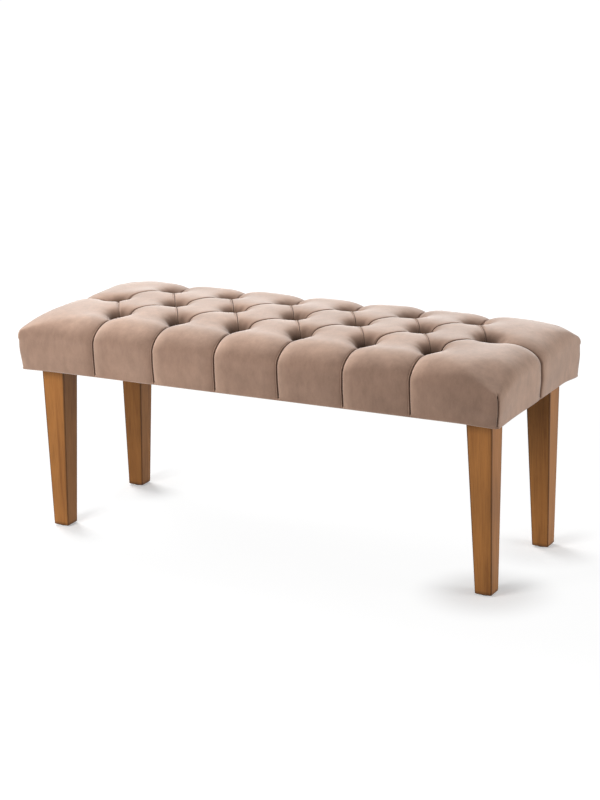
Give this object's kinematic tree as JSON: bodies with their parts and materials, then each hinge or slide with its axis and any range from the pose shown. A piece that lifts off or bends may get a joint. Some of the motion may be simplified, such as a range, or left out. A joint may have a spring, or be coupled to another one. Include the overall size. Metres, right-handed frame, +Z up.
{
  "type": "upholstered bench",
  "caption": "Long low bench with a deep-tufted, pleated velvet seat on a hidden wooden box frame and square tapered wooden legs.",
  "frame": {"origin": "on the floor under the middle of the seat", "axes": "+X along the bench's length, +Y from the front to the back, +Z up"},
  "size_m": [1.006, 0.406, 0.445],
  "materials": {
    "velvet": "matte",
    "wadding": "matte",
    "foam": "matte",
    "twine": "matte",
    "black_plastic": "matte",
    "plywood": "matte",
    "softwood": "matte",
    "zinc_steel": "satin",
    "dust_cloth": "matte",
    "leg_wood": "satin"
  },
  "bodies": {
    "root": {"velvet_cover": "velvet", "tuft_buttons": "velvet", "fibre_wadding": "wadding", "foam_core": "foam", "tufting_twine": "twine", "tie_washers": "black_plastic", "seat_deck": "plywood", "front_rail": "softwood", "back_rail": "softwood", "left_end_rail": "softwood", "right_end_rail": "softwood", "left_cross_rail": "softwood", "right_cross_rail": "softwood", "corner_block_front_left": "softwood", "corner_block_front_right": "softwood", "corner_block_back_left": "softwood", "corner_block_back_right": "softwood", "rail_screws": "zinc_steel", "cross_rail_screws": "zinc_steel", "corner_block_screws": "zinc_steel", "deck_screws": "zinc_steel", "cover_staples": "zinc_steel", "dust_cover": "dust_cloth", "dust_cover_staples": "zinc_steel", "threaded_inserts": "zinc_steel", "hanger_bolts": "zinc_steel", "leg_front_left": "leg_wood", "leg_front_right": "leg_wood", "leg_back_left": "leg_wood", "leg_back_right": "leg_wood", "foot_glides": "black_plastic"}
  },
  "joints": []
}
